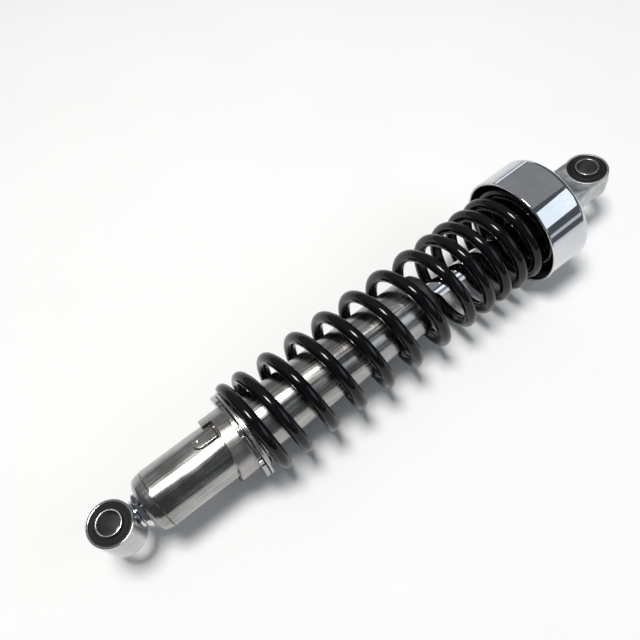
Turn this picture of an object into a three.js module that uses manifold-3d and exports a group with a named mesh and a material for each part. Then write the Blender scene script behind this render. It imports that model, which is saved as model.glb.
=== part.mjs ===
// A motorcycle rear shock absorber: a twin-tube damper inside a progressive coil spring, with a stepped
// preload collar at the lower end, a bright cover at the upper end, and a rubber-bushed eye at each end.
//
// Millimetres. The damper's axis lies along +X, from the lower eye to the upper eye, and +Z is up.
// The origin is below the middle of the lying shock, on the surface that it lies on.
// Along the axis, every station is measured from the lower eye's centre.

import * as THREE from "three";
import { mergeVertices } from "three/addons/utils/BufferGeometryUtils.js";
import Module from "manifold-3d";

const wasm = await Module();
wasm.setup();

// ---------------------------------------------------------------- driving dimensions

const GAP = 0.3; // between any two neighbouring pieces
const EYE_TO_EYE = 343; // 13.5 inches, eye centre to eye centre

// Eyes, their rubber bushes and their steel sleeves
const LOWER_EYE_RADIUS = 12.4;
const LOWER_EYE_WALL = 1.4;
const LOWER_EYE_HALF_WIDTH = 11.5;
const UPPER_EYE_RADIUS = 13.6;
const UPPER_EYE_WALL = 1.8;
const UPPER_EYE_HALF_WIDTH = 6.9;
const SLEEVE_RADIUS = 7.0;
const SLEEVE_BORE_RADIUS = 6.1; // a 12 mm bolt passes
const SLEEVE_PROUD = 1.8; // how far a sleeve stands out of each face of its eye
const RUBBER_INSET = 0.5; // how far the rubber lies below each face of its eye
const UPPER_EYE_TWIST = -6.6; // degrees the rod stands turned, at rest
const STUD_RADIUS = 5.8; // the threaded stud of the lower eye
const STUD_END = 24; // station of the stud's end, inside the base cap
const NECK_RADIUS = 16; // foot of the upper eye's casting, on the cover

// Damper body
const BODY_RADIUS = 17;
const BODY_WALL = 1.8;
const BODY_START = 24.6; // where it ends follows from the stroke and the bump stop
const BASE_START = 17; // the base cap's lower face
const BASE_FACE_RADIUS = BODY_RADIUS - 4.4;
const BASE_DEPTH = 6; // how far the base cap reaches into the tube
const CYLINDER_BORE = BODY_RADIUS - 5.4;
const CYLINDER_WALL = 1.2;
const WIPER_RADIUS = 9.6;
const WIPER_PROUD = 0.9;
const END_CAP_RADIUS = BODY_RADIUS - 0.8;
const END_CAP_LENGTH = 9.6;

// Preload cam: two lugs on the tube and five steps on the collar's edge, twice round
const LUG_COUNT = 2;
const LUG_ANGLE = 78; // degrees from +Y towards +Z
const LUG_START = 54.2;
const LUG_WIDTH = 8.2;
const LUG_HEIGHT = 1.9;
const CAM_STEPS = 5;
const CAM_STEP_ANGLE = 36;
const CAM_STEP_RISE = 1.45;
const CAM_FLAT_ANGLE = 14.4; // the level part of each step
const CAM_WALL_ANGLE = 3.6; // the steep wall after the last step
const CAM_NOTCH = 69.4; // station of the collar's edge in its first notch
const CAM_PLAY = 1.15; // from the lug's top to that edge: a rigid collar turns as a helix, past level steps
const COLLAR_PLAY = 0.35; // between the tube and the collar that turns on it
const COLLAR_WALL = 2.6;
const COLLAR_END = 78.7;
const SPANNER_START = 76.2;
const SPANNER_RADIUS = 26.3;
const SPANNER_SLOTS = 8;
const SPANNER_FIRST_SLOT = 64; // degrees from +Y towards +Z
const SPANNER_BLOCK = 7; // degrees of the small block that stands in each slot
const SPANNER_CUT = 2.6; // degrees of the cut on each side of that block
const SPANNER_CUT_DEPTH = 2.4;

// Spring and its seats
const SEAT_THICKNESS = 1.5;
const SEAT_RADIUS = 26.5;
const SEAT_LIP_HEIGHT = 2.2;
const SEAT_PLAY = 0.6; // between the collar and the seat that turns on it
const UPPER_SEAT_THICKNESS = 1.5;
const UPPER_SEAT_BORE = 19;
const UPPER_SEAT_RADIUS = 28;
const ISOLATOR_THICKNESS = 1.8;
const ISOLATOR_MARGIN = 1; // how far the isolator stands past the upper seat, inside and outside
const SPRING_RADIUS = 29.5; // outside
const WIRE = 7;
const SPRING_TURNS = 13.9;
const SPRING_START_ANGLE = -20; // where the wire's lower end lies, from +Y towards +Z
const SPRING_GROUND = 1.9; // from the ground face to the wire's centre, at each end
// Open gap between neighbouring coils along the spring: [share of the turns, share of the widest gap]
const COIL_GAPS = [
  [0, 0.06],
  [0.13, 0.8],
  [0.22, 0.9],
  [0.47, 1],
  [0.62, 0.42],
  [0.9, 0.38],
  [1, 0.06],
];

// Rod, piston and what stands on the rod
const ROD_RADIUS = 6;
const ROD_STUB_RADIUS = 4;
const TOPOUT_LENGTH = 5;
const ROD_THREAD = 13; // how far the rod reaches into the upper eye
const PISTON_RADIUS = CYLINDER_BORE - 0.6;
const PISTON_LENGTH = 9;
const STROKE = 70;
const STOP_LENGTH = 17;
const STOP_RADIUS = 12.5; // at its washer
const STOP_WAIST = 10.2;
const STOP_NOSE = 8.4;
const STOP_WASHER = 1.3;
const LOCK_NUT = 5;
const LOCK_NUT_FLATS = 19;

// Cover at the upper end
const COVER_RADIUS = 35;
const COVER_WALL = 1.6;
const COVER_LENGTH = 29.5;
const COVER_TO_EYE = 36; // from the cover's closed end to the upper eye's centre
const COVER_CORNER = 4;

// Facets
const LARGE = 40;
const MEDIUM = 24;
const SMALL = 16;
const WIRE_SIDES = 8;
const COIL_STEPS = 18; // steps in each turn of the spring

// ---------------------------------------------------------------- materials

const finish = (color, roughness, metalness) =>
  new THREE.MeshStandardMaterial({ color, roughness, metalness });
const CHROME = finish(0xd8dade, 0.06, 1);
const POLISHED = finish(0xb9b7b3, 0.16, 1);
const CAST = finish(0xa9abae, 0.45, 0.9);
const STEEL = finish(0x8d8f92, 0.4, 1);
const ZINC = finish(0xc2c2bd, 0.3, 1);
const BRONZE = finish(0x9a7444, 0.45, 0.9);
const BLACK_PAINT = finish(0x060607, 0.12, 0);
const RUBBER = finish(0x17171a, 0.75, 0);
const PLASTIC = finish(0x101012, 0.5, 0);

// ---------------------------------------------------------------- helpers

const radians = (degrees) => (degrees * Math.PI) / 180;

// A profile is a list of [station, radius]; the solid is turned about the X axis, with a flat facet below.
function turned(profile, facets = LARGE) {
  return revolve(profile, facets, Math.PI / facets).rotateZ(-Math.PI / 2);
}

// The same about the Z axis, for the eyes: [height, radius], with a corner on +X and on -X.
function turnedUpright(profile, facets = MEDIUM) {
  return revolve(profile, facets, 0).rotateX(Math.PI / 2);
}

// A profile that touches the axis is opened there; any other closes on itself.
function revolve(profile, facets, phase) {
  const points = profile.map(([along, radius]) => new THREE.Vector2(radius, along));
  if (THREE.ShapeUtils.area(points) < 0) points.reverse();
  const onAxis = points.findIndex((p, i) => p.x === 0 && points[(i + 1) % points.length].x === 0);
  const start = onAxis + 1;
  const line = [...points.slice(start), ...points.slice(0, start)];
  if (onAxis < 0) line.push(line[0].clone());
  return new THREE.LatheGeometry(line, facets, phase, 2 * Math.PI);
}

// A washer or tube between two stations.
const pipe = (start, end, inner, outer, facets) =>
  turned([[start, inner], [end, inner], [end, outer], [start, outer]], facets);

const pipeUpright = (half, inner, outer, facets) =>
  turnedUpright([[-half, inner], [half, inner], [half, outer], [-half, outer]], facets);

const rod = (start, end, radius, facets) =>
  turned([[start, 0], [end, 0], [end, radius], [start, radius]], facets);

function box(x0, x1, y0, y1, z0, z1) {
  const geometry = new THREE.BoxGeometry(x1 - x0, y1 - y0, z1 - z0);
  return geometry.translate((x0 + x1) / 2, (y0 + y1) / 2, (z0 + z1) / 2);
}

// A hexagonal prism about the X axis, across flats.
const hexagon = (start, end, flats) => rod(start, end, flats / 2 / Math.cos(Math.PI / 6), 6);

function toSolid(geometry) {
  const plain = geometry.index ? geometry.toNonIndexed() : geometry.clone();
  plain.deleteAttribute("normal");
  plain.deleteAttribute("uv");
  const merged = mergeVertices(plain, 1e-4);
  const mesh = new wasm.Mesh({
    numProp: 3,
    vertProperties: merged.attributes.position.array,
    triVerts: new Uint32Array(merged.index.array),
  });
  return new wasm.Manifold(mesh);
}

function toGeometry(solid) {
  const mesh = solid.getMesh();
  const geometry = new THREE.BufferGeometry();
  geometry.setAttribute("position", new THREE.BufferAttribute(mesh.vertProperties, 3));
  geometry.setIndex(new THREE.BufferAttribute(mesh.triVerts, 1));
  return geometry;
}

const join = (...geometries) => toGeometry(geometries.map(toSolid).reduce((a, b) => a.add(b)));
const cut = (geometry, ...tools) =>
  toGeometry(tools.map(toSolid).reduce((a, b) => a.subtract(b), toSolid(geometry)));
const common = (a, b) => toGeometry(toSolid(a).intersect(toSolid(b)));

// Closed rings of points joined into one skin, with a fan over each end.
function loft(rings) {
  const count = rings[0].length;
  const positions = rings.flat().flatMap((p) => [p.x, p.y, p.z]);
  const faces = [];
  for (let ring = 0; ring + 1 < rings.length; ring += 1) {
    for (let i = 0; i < count; i += 1) {
      const a = ring * count + i;
      const b = ring * count + ((i + 1) % count);
      faces.push(a, b, a + count, b, b + count, a + count);
    }
  }
  const last = (rings.length - 1) * count;
  for (let i = 1; i + 1 < count; i += 1) {
    faces.push(0, i + 1, i);
    faces.push(last, last + i, last + i + 1);
  }
  const geometry = new THREE.BufferGeometry();
  geometry.setAttribute("position", new THREE.Float32BufferAttribute(positions, 3));
  geometry.setIndex(faces);
  return geometry;
}

const smooth = (t) => t * t * (3 - 2 * t);

const shock = new THREE.Group();
const AXIS_HEIGHT = COVER_RADIUS * Math.cos(Math.PI / LARGE); // the shock lies on a flat facet of its cover
shock.position.set((LOWER_EYE_RADIUS - EYE_TO_EYE - UPPER_EYE_RADIUS) / 2, 0, AXIS_HEIGHT);

const upperEyeGroup = new THREE.Group();
upperEyeGroup.position.x = EYE_TO_EYE;
upperEyeGroup.rotation.x = radians(UPPER_EYE_TWIST);
shock.add(upperEyeGroup);

function piece(name, geometry, material, parent = shock) {
  const mesh = new THREE.Mesh(geometry, material);
  mesh.name = name;
  parent.add(mesh);
  return mesh;
}

// ---------------------------------------------------------------- stations that follow one another

const COVER_END = EYE_TO_EYE - COVER_TO_EYE;
const COVER_START = COVER_END - COVER_LENGTH;
const COVER_INSIDE = COVER_END - COVER_WALL;
const LOCK_NUT_START = COVER_INSIDE - GAP - LOCK_NUT;
const STOP_WASHER_START = LOCK_NUT_START - GAP - STOP_WASHER;
const STOP_START = STOP_WASHER_START - GAP - STOP_LENGTH;
const WIPER_END = STOP_START - STROKE - GAP; // the bump stop meets the wiper at full stroke
const END_CAP_END = WIPER_END - WIPER_PROUD;
const END_CAP_START = END_CAP_END - END_CAP_LENGTH;
const BODY_END = END_CAP_START - GAP;

// ---------------------------------------------------------------- lower eye

const LOWER_EYE_BORE = LOWER_EYE_RADIUS - LOWER_EYE_WALL;
const EYE_SHOULDER_END = LOWER_EYE_RADIUS + 0.8;

function lowerEye() {
  const ring = pipeUpright(LOWER_EYE_HALF_WIDTH, LOWER_EYE_BORE, LOWER_EYE_RADIUS, 40);
  const root = (LOWER_EYE_BORE + LOWER_EYE_RADIUS) / 2;
  const stud = rod(root, STUD_END, STUD_RADIUS, SMALL);
  const shoulder = rod(root, EYE_SHOULDER_END, STUD_RADIUS + 2.2, SMALL);
  const clearBore = turnedUpright([[-30, 0], [30, 0], [30, LOWER_EYE_BORE], [-30, LOWER_EYE_BORE]], 40);
  return cut(join(ring, stud, shoulder), clearBore);
}

// A rubber bush with a shallow groove in each face.
function rubberBush(eyeHalfWidth, eyeBore) {
  const half = eyeHalfWidth - RUBBER_INSET;
  const inner = SLEEVE_RADIUS + GAP;
  const outer = eyeBore - GAP;
  const lip = (outer - inner) * 0.3;
  const groove = 0.8;
  return turnedUpright([
    [-half, inner],
    [-half, inner + lip],
    [-half + groove, (inner + outer) / 2],
    [-half, outer - lip],
    [-half, outer],
    [half, outer],
    [half, outer - lip],
    [half - groove, (inner + outer) / 2],
    [half, inner + lip],
    [half, inner],
  ]);
}

const sleeve = (eyeHalfWidth) =>
  pipeUpright(eyeHalfWidth + SLEEVE_PROUD, SLEEVE_BORE_RADIUS, SLEEVE_RADIUS);

const JAM_NUT_START = EYE_SHOULDER_END + GAP;
const JAM_NUT_FLATS = 17.4;

function jamNut() {
  const end = BASE_START - GAP;
  const bore = rod(JAM_NUT_START - 1, end + 1, STUD_RADIUS + GAP, SMALL);
  return cut(hexagon(JAM_NUT_START, end, JAM_NUT_FLATS), bore);
}

piece("lower_eye", lowerEye(), CHROME);
piece("lower_rubber_bush", rubberBush(LOWER_EYE_HALF_WIDTH, LOWER_EYE_BORE), RUBBER);
piece("lower_sleeve", sleeve(LOWER_EYE_HALF_WIDTH), ZINC);
piece("lower_jam_nut", jamNut(), CHROME);

// ---------------------------------------------------------------- damper body

const BODY_BORE = BODY_RADIUS - BODY_WALL;
const FIT_RADIUS = BODY_BORE - GAP; // what fits inside the body tube
const CYLINDER_RADIUS = CYLINDER_BORE + CYLINDER_WALL;
const BASE_TOP = BODY_START + BASE_DEPTH;

// The base cap: a domed lower face, a long taper up to the tube, and a spigot inside it.
function baseCap() {
  return turned([
    [BASE_START, STUD_RADIUS + GAP],
    [STUD_END + GAP, STUD_RADIUS + GAP],
    [STUD_END + GAP, 0],
    [BASE_TOP, 0],
    [BASE_TOP, FIT_RADIUS],
    [BODY_START - GAP, FIT_RADIUS],
    [BODY_START - GAP, BODY_RADIUS - 0.5],
    [BASE_START + 4, BODY_RADIUS - 0.9],
    [BASE_START + 2, BODY_RADIUS - 1.7],
    [BASE_START + 0.7, BODY_RADIUS - 2.9],
    [BASE_START, BASE_FACE_RADIUS],
  ]);
}

const LUG_END = CAM_NOTCH - CAM_PLAY;

// One pressed lug: a pad with a round lower end, standing out of the tube on +Z.
function lugPad() {
  const half = LUG_WIDTH / 2;
  const outline = new THREE.Shape();
  outline.moveTo(LUG_END, -half);
  outline.lineTo(LUG_END, half);
  outline.lineTo(LUG_START + half, half);
  outline.absarc(LUG_START + half, 0, half, Math.PI / 2, (3 * Math.PI) / 2, false);
  outline.closePath();
  const reach = BODY_RADIUS + LUG_HEIGHT + 2;
  const pad = new THREE.ExtrudeGeometry(outline, { depth: reach, bevelEnabled: false, curveSegments: 8 });
  const shell = pipe(LUG_START - 5, LUG_END + 5, BODY_RADIUS - BODY_WALL / 2, BODY_RADIUS + LUG_HEIGHT);
  return common(pad, shell);
}

function bodyTube() {
  const tube = pipe(BODY_START, BODY_END, BODY_BORE, BODY_RADIUS);
  const lugs = [];
  for (let i = 0; i < LUG_COUNT; i += 1) {
    const turn = LUG_ANGLE - 90 + (360 / LUG_COUNT) * i;
    lugs.push(lugPad().rotateX(radians(turn)));
  }
  return join(tube, ...lugs);
}

piece("damper_base_cap", baseCap(), POLISHED);
piece("damper_body_tube", bodyTube(), POLISHED);

// ---------------------------------------------------------------- foot valve and pressure cylinder

const FOOT_START = BASE_TOP + GAP;
const FOOT_FLANGE = 3;
const FOOT_PLUG = 6;
const VALVE_DISC = 0.8;
const DISC_RADIUS = (ROD_RADIUS + CYLINDER_BORE) / 2; // valve disc, shims and bumper
const CYLINDER_START = FOOT_START + FOOT_FLANGE + GAP;

// The foot valve sits in the bottom of the pressure cylinder, with passages between the two tubes.
function footValveBody() {
  const plugTop = CYLINDER_START + FOOT_PLUG;
  const plug = turned([
    [FOOT_START, 0],
    [plugTop, 0],
    [plugTop, CYLINDER_BORE - GAP],
    [FOOT_START + FOOT_FLANGE, CYLINDER_BORE - GAP],
    [FOOT_START + FOOT_FLANGE, FIT_RADIUS],
    [FOOT_START, FIT_RADIUS],
  ], MEDIUM);
  const tools = [rod(FOOT_START - 1, plugTop + 1, 2, 12)];
  for (let i = 0; i < 6; i += 1) {
    const passage = rod(FOOT_START - 1, plugTop + 1, 1.2, 8).translate(0, 6.5, 0);
    tools.push(passage.rotateX(radians(60 * i)));
  }
  return cut(plug, ...tools);
}

const VALVE_DISC_START = CYLINDER_START + FOOT_PLUG + GAP;

function footValvePin() {
  const head = VALVE_DISC_START + VALVE_DISC + GAP;
  return turned([
    [FOOT_START + 0.5, 0],
    [head + 2, 0],
    [head + 2, 3.2],
    [head, 3.2],
    [head, 2 - GAP],
    [FOOT_START + 0.5, 2 - GAP],
  ], 12);
}

const GUIDE_SPIGOT = 3;
const GUIDE_LENGTH = 6;
const SEAL_LENGTH = 4;
const SEAL_WASHER = 1.4;
const CAP_SPIGOT = 2;
const SEAL_WASHER_START = BODY_END - CAP_SPIGOT - GAP - SEAL_WASHER;
const SEAL_START = SEAL_WASHER_START - GAP - SEAL_LENGTH;
const GUIDE_START = SEAL_START - GAP - GUIDE_LENGTH;
const CYLINDER_END = GUIDE_START - GAP;
const GUIDE_BUSH_WALL = 1.4;

const valveDisc = () => pipe(VALVE_DISC_START, VALVE_DISC_START + VALVE_DISC, 2 + GAP, DISC_RADIUS, SMALL);

const pressureCylinder = () => pipe(CYLINDER_START, CYLINDER_END, CYLINDER_BORE, CYLINDER_RADIUS, MEDIUM);

piece("foot_valve_body", footValveBody(), STEEL);
piece("foot_valve_disc", valveDisc(), ZINC);
piece("foot_valve_pin", footValvePin(), STEEL);
piece("pressure_cylinder", pressureCylinder(), STEEL);

// ---------------------------------------------------------------- rod guide, seals and end cap

const ROD_BORE = ROD_RADIUS + GAP; // the bore of what slides on the rod
const BUSH_RADIUS = ROD_BORE + GUIDE_BUSH_WALL;

function rodGuide() {
  return turned([
    [GUIDE_START - GUIDE_SPIGOT, BUSH_RADIUS + GAP],
    [GUIDE_START + GUIDE_LENGTH, BUSH_RADIUS + GAP],
    [GUIDE_START + GUIDE_LENGTH, FIT_RADIUS],
    [GUIDE_START, FIT_RADIUS],
    [GUIDE_START, CYLINDER_BORE - GAP],
    [GUIDE_START - GUIDE_SPIGOT, CYLINDER_BORE - GAP],
  ], MEDIUM);
}

// A lip seal: a stiff ring whose lip leans against the rod.
function oilSeal() {
  return turned([
    [SEAL_START, ROD_BORE + 1.2],
    [SEAL_START + SEAL_LENGTH * 0.4, ROD_BORE],
    [SEAL_START + SEAL_LENGTH * 0.6, ROD_BORE],
    [SEAL_START + SEAL_LENGTH, ROD_BORE + 1.2],
    [SEAL_START + SEAL_LENGTH, FIT_RADIUS],
    [SEAL_START, FIT_RADIUS],
  ], MEDIUM);
}

const WIPER_START = END_CAP_START + 4.2;

function endCap() {
  return turned([
    [BODY_END - CAP_SPIGOT, ROD_BORE + 0.7],
    [WIPER_START - GAP, ROD_BORE + 0.7],
    [WIPER_START - GAP, WIPER_RADIUS + GAP],
    [END_CAP_END, WIPER_RADIUS + GAP],
    [END_CAP_END, END_CAP_RADIUS - 2.2],
    [END_CAP_END - 1.6, END_CAP_RADIUS - 0.4],
    [END_CAP_END - 2.6, END_CAP_RADIUS],
    [END_CAP_START, END_CAP_RADIUS],
    [END_CAP_START, FIT_RADIUS],
    [BODY_END - CAP_SPIGOT, FIT_RADIUS],
  ], MEDIUM);
}

function dustWiper() {
  return turned([
    [WIPER_START, ROD_BORE],
    [WIPER_END, ROD_BORE],
    [WIPER_END, ROD_BORE + 0.9],
    [WIPER_END - 1, WIPER_RADIUS],
    [WIPER_START, WIPER_RADIUS],
  ], MEDIUM);
}

const guideBush = () =>
  pipe(GUIDE_START - GUIDE_SPIGOT, GUIDE_START + GUIDE_LENGTH, ROD_BORE, BUSH_RADIUS, MEDIUM);

const sealWasher = () =>
  pipe(SEAL_WASHER_START, SEAL_WASHER_START + SEAL_WASHER, ROD_BORE, FIT_RADIUS, MEDIUM);

piece("rod_guide", rodGuide(), STEEL);
piece("guide_bush", guideBush(), BRONZE);
piece("oil_seal", oilSeal(), RUBBER);
piece("seal_washer", sealWasher(), ZINC);
piece("tube_end_cap", endCap(), PLASTIC);
piece("dust_wiper", dustWiper(), RUBBER);

// ---------------------------------------------------------------- preload collar

const COLLAR_BORE = BODY_RADIUS + COLLAR_PLAY;
const COLLAR_RADIUS = COLLAR_BORE + COLLAR_WALL;
const CAM_PERIOD = 360 / LUG_COUNT;
const CAM_LIFT = (CAM_STEPS - 1) * CAM_STEP_RISE;

// How far the collar's edge hangs below its first notch, at an angle from that notch's middle.
function camDepth(angle) {
  const half = CAM_STEP_ANGLE / 2;
  const along = ((((angle + half) % CAM_PERIOD) + CAM_PERIOD) % CAM_PERIOD) - half;
  const wallStart = CAM_STEP_ANGLE * (CAM_STEPS - 1) + half;
  if (along > wallStart) return CAM_LIFT * Math.max(0, 1 - (along - wallStart) / CAM_WALL_ANGLE);
  const step = Math.floor((along + half) / CAM_STEP_ANGLE);
  const within = along + half - step * CAM_STEP_ANGLE;
  const level = (CAM_STEP_ANGLE + CAM_FLAT_ANGLE) / 2;
  const ramp = Math.max(0, (within - level) / (CAM_STEP_ANGLE - CAM_FLAT_ANGLE));
  const back = Math.max(0, (CAM_STEP_ANGLE - level - within) / (CAM_STEP_ANGLE - CAM_FLAT_ANGLE));
  const lift = Math.min(CAM_STEPS - 1, Math.max(0, step + ramp - back));
  return lift * CAM_STEP_RISE;
}

// The collar is a sleeve whose lower edge is the cam: rings of points at constant angle, closed round.
function camCollar() {
  const steps = 100;
  const ring = (angle) => {
    const y = Math.cos(radians(angle));
    const z = Math.sin(radians(angle));
    const edge = CAM_NOTCH - camDepth(angle - LUG_ANGLE);
    const corners = [
      [edge, COLLAR_BORE],
      [edge, COLLAR_RADIUS],
      [SPANNER_START, COLLAR_RADIUS],
      [COLLAR_END, COLLAR_RADIUS],
      [COLLAR_END, COLLAR_BORE],
    ];
    return corners.map(([x, r]) => [x, r * y, r * z]);
  };
  const positions = [];
  const faces = [];
  const corners = ring(0).length;
  for (let i = 0; i < steps; i += 1) positions.push(...ring(LUG_ANGLE + (360 / steps) * i).flat());
  for (let i = 0; i < steps; i += 1) {
    const next = (i + 1) % steps;
    for (let k = 0; k < corners; k += 1) {
      const other = (k + 1) % corners;
      const [a, b] = [i * corners + k, i * corners + other];
      const [c, d] = [next * corners + k, next * corners + other];
      faces.push(a, c, b, b, c, d);
    }
  }
  const geometry = new THREE.BufferGeometry();
  geometry.setAttribute("position", new THREE.Float32BufferAttribute(positions, 3));
  geometry.setIndex(faces);
  return geometry;
}

// The ring that a hook spanner turns: eight slots, each with a small block left standing in it.
function spannerRing() {
  const ring = turned([
    [SPANNER_START, COLLAR_RADIUS + GAP],
    [COLLAR_END, COLLAR_RADIUS + GAP],
    [COLLAR_END, SPANNER_RADIUS],
    [SPANNER_START + 0.3, SPANNER_RADIUS],
    [SPANNER_START, SPANNER_RADIUS - 0.3],
  ], 64);
  const tools = [];
  const reach = SPANNER_RADIUS + 2; // past the ring
  const floor = SPANNER_RADIUS - SPANNER_CUT_DEPTH;
  const halfCut = SPANNER_RADIUS * Math.tan(radians(SPANNER_CUT / 2));
  for (let i = 0; i < SPANNER_SLOTS; i += 1) {
    for (const side of [-1, 1]) {
      const middle = SPANNER_FIRST_SLOT + (360 / SPANNER_SLOTS) * i;
      const angle = middle + (side * (SPANNER_BLOCK + SPANNER_CUT)) / 2;
      const tool = box(SPANNER_START - 1, COLLAR_END + 1, floor, reach, -halfCut, halfCut);
      tools.push(tool.rotateX(radians(angle)));
    }
  }
  return cut(ring, ...tools);
}

piece("cam_collar", camCollar(), POLISHED);
piece("spanner_ring", spannerRing(), POLISHED);

// ---------------------------------------------------------------- spring and its seats

const SEAT_START = COLLAR_END + SEAT_PLAY;
const SEAT_TOP = SEAT_START + SEAT_THICKNESS;
const SPRING_START = SEAT_TOP + GAP;
const COIL_RADIUS = SPRING_RADIUS - WIRE / 2;
const SPRING_BORE = SPRING_RADIUS - WIRE;
const ISOLATOR_START = COVER_INSIDE - GAP - ISOLATOR_THICKNESS;
const UPPER_SEAT_START = ISOLATOR_START - GAP - UPPER_SEAT_THICKNESS;
const SPRING_END = UPPER_SEAT_START - GAP;

function lowerSpringSeat() {
  const lip = SPRING_BORE - 0.6;
  return turned([
    [SEAT_START, COLLAR_BORE],
    [SEAT_TOP + SEAT_LIP_HEIGHT, COLLAR_BORE],
    [SEAT_TOP + SEAT_LIP_HEIGHT, lip - 1],
    [SEAT_TOP + SEAT_LIP_HEIGHT - 1, lip],
    [SEAT_TOP, lip],
    [SEAT_TOP, SEAT_RADIUS],
    [SEAT_START, SEAT_RADIUS],
  ]);
}

// The relative gap between coils at a share of the spring's turns, eased between the listed points.
function coilGap(share) {
  const next = Math.max(1, COIL_GAPS.findIndex(([at]) => at >= share));
  const [[from, low], [to, high]] = [COIL_GAPS[next - 1], COIL_GAPS[next]];
  return low + (high - low) * smooth((share - from) / (to - from));
}

// Where the wire's centre is along the axis, at each step: the wire's own thickness and the gaps add up,
// and the gaps are scaled so that the spring just fills the room between its two seats.
function coilStations() {
  const steps = Math.round(SPRING_TURNS * COIL_STEPS);
  const sums = [0];
  for (let i = 0; i < steps; i += 1) sums.push(sums[i] + coilGap((i + 0.5) / steps) / COIL_STEPS);
  const first = SPRING_START + SPRING_GROUND;
  const room = SPRING_END - SPRING_GROUND - first - SPRING_TURNS * WIRE;
  return sums.map((sum, i) => first + (SPRING_TURNS * WIRE * i) / steps + (room * sum) / sums[steps]);
}

class CoilCurve extends THREE.Curve {
  constructor(stations) {
    super();
    this.stations = stations;
  }

  getPoint(t, target = new THREE.Vector3()) {
    const at = t * (this.stations.length - 1);
    const low = Math.min(Math.floor(at), this.stations.length - 2);
    const x = THREE.MathUtils.lerp(this.stations[low], this.stations[low + 1], at - low);
    const angle = radians(SPRING_START_ANGLE + 360 * SPRING_TURNS * t);
    return target.set(x, COIL_RADIUS * Math.cos(angle), COIL_RADIUS * Math.sin(angle));
  }

  // Steps of equal angle, so that the tight and the wide coils have the same facets.
  getPointAt(u, target) {
    return this.getPoint(u, target);
  }

  getTangentAt(u, target) {
    return this.getTangent(u, target);
  }
}

// The wire, with both ends ground flat so that they seat.
function coilSpring() {
  const stations = coilStations();
  const section = new THREE.Shape();
  for (let i = 0; i < WIRE_SIDES; i += 1) {
    const angle = (2 * Math.PI * (i + 0.5)) / WIRE_SIDES;
    const [x, y] = [(WIRE / 2) * Math.cos(angle), (WIRE / 2) * Math.sin(angle)];
    if (i === 0) section.moveTo(x, y);
    else section.lineTo(x, y);
  }
  section.closePath();
  const path = new CoilCurve(stations);
  const options = { steps: stations.length - 1, bevelEnabled: false, extrudePath: path };
  const wire = new THREE.ExtrudeGeometry(section, options);
  const reach = SPRING_RADIUS + 5;
  return common(wire, box(SPRING_START, SPRING_END, -reach, reach, -reach, reach));
}

function upperSpringSeat() {
  const end = UPPER_SEAT_START + UPPER_SEAT_THICKNESS;
  return pipe(UPPER_SEAT_START, end, UPPER_SEAT_BORE, UPPER_SEAT_RADIUS, MEDIUM);
}

function upperIsolator() {
  const inner = UPPER_SEAT_BORE - ISOLATOR_MARGIN;
  const outer = UPPER_SEAT_RADIUS + ISOLATOR_MARGIN;
  return pipe(ISOLATOR_START, ISOLATOR_START + ISOLATOR_THICKNESS, inner, outer, MEDIUM);
}

piece("lower_spring_seat", lowerSpringSeat(), ZINC);
piece("coil_spring", coilSpring(), BLACK_PAINT);
piece("upper_spring_seat", upperSpringSeat(), ZINC);
piece("upper_isolator", upperIsolator(), RUBBER);

// ---------------------------------------------------------------- rod, piston and bump stop

const PISTON_NUT = 5.5;
const SHIM_STACK = 1;
const BACKING = 1.6;
const BACKING_RADIUS = DISC_RADIUS - 1;
const PISTON_NUT_FLATS = 13;
const TOPOUT_PLAY = 1; // between the bumper and the rod guide, fully extended
const BUMPER_START = GUIDE_START - GUIDE_SPIGOT - TOPOUT_PLAY - TOPOUT_LENGTH;
const ROD_SHOULDER = BUMPER_START - GAP;
const BACKING_START = ROD_SHOULDER - GAP - BACKING;
const COMPRESSION_START = BACKING_START - GAP - SHIM_STACK;
const PISTON_START = COMPRESSION_START - GAP - PISTON_LENGTH;
const REBOUND_START = PISTON_START - GAP - SHIM_STACK;
const NUT_START = REBOUND_START - GAP - PISTON_NUT;
const ROD_START = NUT_START - 1;
const STUB_BORE = ROD_STUB_RADIUS + GAP;
const BAND_HALF = 2.4;
const BAND_DEPTH = 1;
const PORT_CIRCLE = (STUB_BORE + PISTON_RADIUS - BAND_DEPTH - GAP) / 2; // radius that the ports lie on
const ROD_END = COVER_END + GAP + ROD_THREAD;

function pistonRod() {
  return turned([
    [ROD_START, 0],
    [ROD_END, 0],
    [ROD_END, ROD_RADIUS - 0.6],
    [ROD_END - 0.6, ROD_RADIUS],
    [ROD_SHOULDER, ROD_RADIUS],
    [ROD_SHOULDER, ROD_STUB_RADIUS],
    [ROD_START, ROD_STUB_RADIUS],
  ], MEDIUM);
}

function piston() {
  const middle = PISTON_START + PISTON_LENGTH / 2;
  const end = PISTON_START + PISTON_LENGTH;
  const blank = turned([
    [PISTON_START, STUB_BORE],
    [end, STUB_BORE],
    [end, PISTON_RADIUS - 0.4],
    [middle + BAND_HALF + GAP, PISTON_RADIUS - 0.4],
    [middle + BAND_HALF + GAP, PISTON_RADIUS - BAND_DEPTH - GAP],
    [middle - BAND_HALF - GAP, PISTON_RADIUS - BAND_DEPTH - GAP],
    [middle - BAND_HALF - GAP, PISTON_RADIUS - 0.4],
    [PISTON_START, PISTON_RADIUS - 0.4],
  ], MEDIUM);
  const tools = [];
  for (let i = 0; i < 6; i += 1) {
    const port = rod(PISTON_START - 1, end + 1, 1, 8).translate(0, PORT_CIRCLE, 0);
    tools.push(port.rotateX(radians(60 * i)));
  }
  return cut(blank, ...tools);
}

function pistonBand() {
  const middle = PISTON_START + PISTON_LENGTH / 2;
  const outer = CYLINDER_BORE - GAP;
  return pipe(middle - BAND_HALF, middle + BAND_HALF, PISTON_RADIUS - BAND_DEPTH, outer, MEDIUM);
}

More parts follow.
